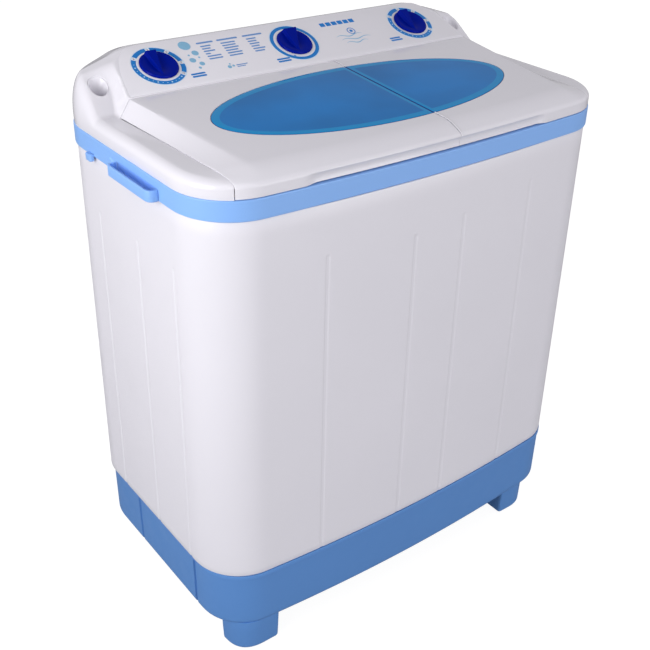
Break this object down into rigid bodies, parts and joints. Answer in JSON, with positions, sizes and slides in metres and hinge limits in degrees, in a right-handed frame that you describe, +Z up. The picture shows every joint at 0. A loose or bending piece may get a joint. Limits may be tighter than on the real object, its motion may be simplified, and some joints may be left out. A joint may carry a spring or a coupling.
{
  "type": "twin tub washing machine",
  "caption": "Top-loading twin tub washer: wash tub with pulsator beside a spin basket, hinged lids with a blue window, and a sloping console with rotary dials.",
  "frame": {"origin": "on the floor, under the centre of the machine's bounding box", "axes": "+Z up, the front with the lids' free edges faces -Y, the wash tub is towards -X and the spin tub towards +X"},
  "size_m": [0.77, 0.4686, 0.879],
  "materials": {
    "white_plastic": "glossy injection moulded",
    "blue_plastic": "satin injection moulded",
    "base_blue_plastic": "satin injection moulded",
    "panel_print": "glossy fascia with printed marks",
    "clear_blue_window": "polished, see-through",
    "dial_blue_plastic": "polished",
    "tub_plastic": "smooth moulded",
    "grey_plastic": "plain moulded",
    "steel": "bright drawn",
    "zinc_plate": "zinc plated",
    "black_rubber": "matt",
    "motor_paint": "baked enamel",
    "die_cast_alloy": "as cast, turned faces"
  },
  "bodies": {
    "casing": {"cabinet": "white_plastic", "rear_cover": "white_plastic", "top_deck": "white_plastic", "water_inlet_left": "white_plastic", "water_inlet_right": "white_plastic", "top_band": "blue_plastic", "base_tray": "base_blue_plastic", "foot_front_left": "base_blue_plastic", "foot_front_right": "base_blue_plastic", "foot_rear_left": "base_blue_plastic", "foot_rear_right": "base_blue_plastic", "console_panel": "panel_print", "twin_tub": "tub_plastic", "wash_timer": "grey_plastic", "water_selector_switch": "grey_plastic", "spin_timer": "grey_plastic", "drain_valve_body": "grey_plastic", "drain_hose": "grey_plastic", "lid_switch": "grey_plastic", "wash_lid_pin": "steel", "spin_lid_pin": "steel", "suspension_spring_1": "steel", "suspension_spring_2": "steel", "suspension_spring_3": "steel", "cover_screw_lower_left": "zinc_plate", "cover_screw_upper_left": "zinc_plate", "cover_screw_lower_right": "zinc_plate", "cover_screw_upper_right": "zinc_plate", "motor_bracket": "zinc_plate", "run_capacitor": "zinc_plate", "drive_belt": "black_rubber", "shaft_seal": "black_rubber", "power_cord": "black_rubber", "power_plug": "black_rubber", "buzzer": "black_rubber", "wash_motor": "motor_paint", "spin_motor": "motor_paint", "wash_bearing_housing": "die_cast_alloy"},
    "wash_lid": {"wash_lid": "white_plastic", "wash_lid_window": "clear_blue_window"},
    "spin_lid": {"spin_lid": "white_plastic", "spin_lid_window": "clear_blue_window"},
    "wash_timer_knob": {"wash_timer_knob": "dial_blue_plastic"},
    "selector_knob": {"selector_knob": "dial_blue_plastic"},
    "spin_timer_knob": {"spin_timer_knob": "dial_blue_plastic"},
    "pulsator_rotor": {"pulsator": "blue_plastic", "pulsator_shaft": "steel", "wash_pulley": "die_cast_alloy"},
    "wash_motor_rotor": {"motor_pulley": "die_cast_alloy"},
    "spin_rotor": {"spin_basket": "tub_plastic", "spin_shaft": "steel", "brake_drum": "die_cast_alloy"},
    "basket_cover": {"basket_cover": "blue_plastic"},
    "lint_filter": {"lint_filter": "blue_plastic"},
    "brake_lever": {"brake_lever": "zinc_plate"},
    "lid_switch_lever": {"lid_switch_lever": "grey_plastic"},
    "drain_plunger": {"drain_plunger": "black_rubber"}
  },
  "joints": [
    {"name": "wash_lid_hinge", "type": "hinge", "parent": "casing", "child": "wash_lid", "pos_m": [-0.138, 0.0656, 0.83082], "axis": [-1, 0, 0], "range_deg": [0, 88]},
    {"name": "spin_lid_hinge", "type": "hinge", "parent": "casing", "child": "spin_lid", "pos_m": [0.174, 0.0656, 0.83082], "axis": [-1, 0, 0], "range_deg": [0, 88]},
    {"name": "wash_timer_turn", "type": "hinge", "parent": "casing", "child": "wash_timer_knob", "pos_m": [-0.2437, 0.11909, 0.85743], "axis": [0, 0.4211, -0.907], "range_deg": [0, 300]},
    {"name": "selector_turn", "type": "hinge", "parent": "casing", "child": "selector_knob", "pos_m": [-0.0042, 0.11909, 0.85743], "axis": [0, 0.4211, -0.907], "range_deg": [0, 120]},
    {"name": "spin_timer_turn", "type": "hinge", "parent": "casing", "child": "spin_timer_knob", "pos_m": [0.2353, 0.11909, 0.85743], "axis": [0, 0.4211, -0.907], "range_deg": [0, 270]},
    {"name": "pulsator_spin", "type": "hinge", "parent": "casing", "child": "pulsator_rotor", "pos_m": [-0.15, -0.03, 0.132], "axis": [0, 0, 1], "continuous": true},
    {"name": "wash_motor_spin", "type": "hinge", "parent": "casing", "child": "wash_motor_rotor", "pos_m": [0.01, 0.085, 0.132], "axis": [0, 0, 1], "continuous": true},
    {"name": "spin_basket_spin", "type": "hinge", "parent": "casing", "child": "spin_rotor", "pos_m": [0.19, -0.062, 0.352], "axis": [0, 0, 1], "continuous": true},
    {"name": "basket_cover_slide", "type": "slide", "parent": "spin_rotor", "child": "basket_cover", "axis": [0, 0, 1], "range_m": [-0.28, 0]},
    {"name": "lint_filter_slide", "type": "slide", "parent": "casing", "child": "lint_filter", "axis": [0, 0, 1], "range_m": [0, 0.06]},
    {"name": "brake_lever_turn", "type": "hinge", "parent": "casing", "child": "brake_lever", "pos_m": [0.24, -0.112, 0.224], "axis": [0, 0, 1], "range_deg": [0, 4]},
    {"name": "lid_switch_turn", "type": "hinge", "parent": "casing", "child": "lid_switch_lever", "pos_m": [0.235, 0.079, 0.8185], "axis": [-1, 0, 0], "range_deg": [0, 10]},
    {"name": "drain_plunger_slide", "type": "slide", "parent": "casing", "child": "drain_plunger", "axis": [0, 0, 1], "range_m": [0, 0.008]}
  ],
  "couplings": [
    {"joint": "wash_motor_spin", "follows": "pulsator_spin", "ratio": 4.7222},
    {"joint": "brake_lever_turn", "follows": "spin_lid_hinge", "ratio": 0.04},
    {"joint": "lid_switch_turn", "follows": "spin_lid_hinge", "ratio": 0.1},
    {"joint": "drain_plunger_slide", "follows": "selector_turn", "m_per_rad": 0.0038}
  ]
}
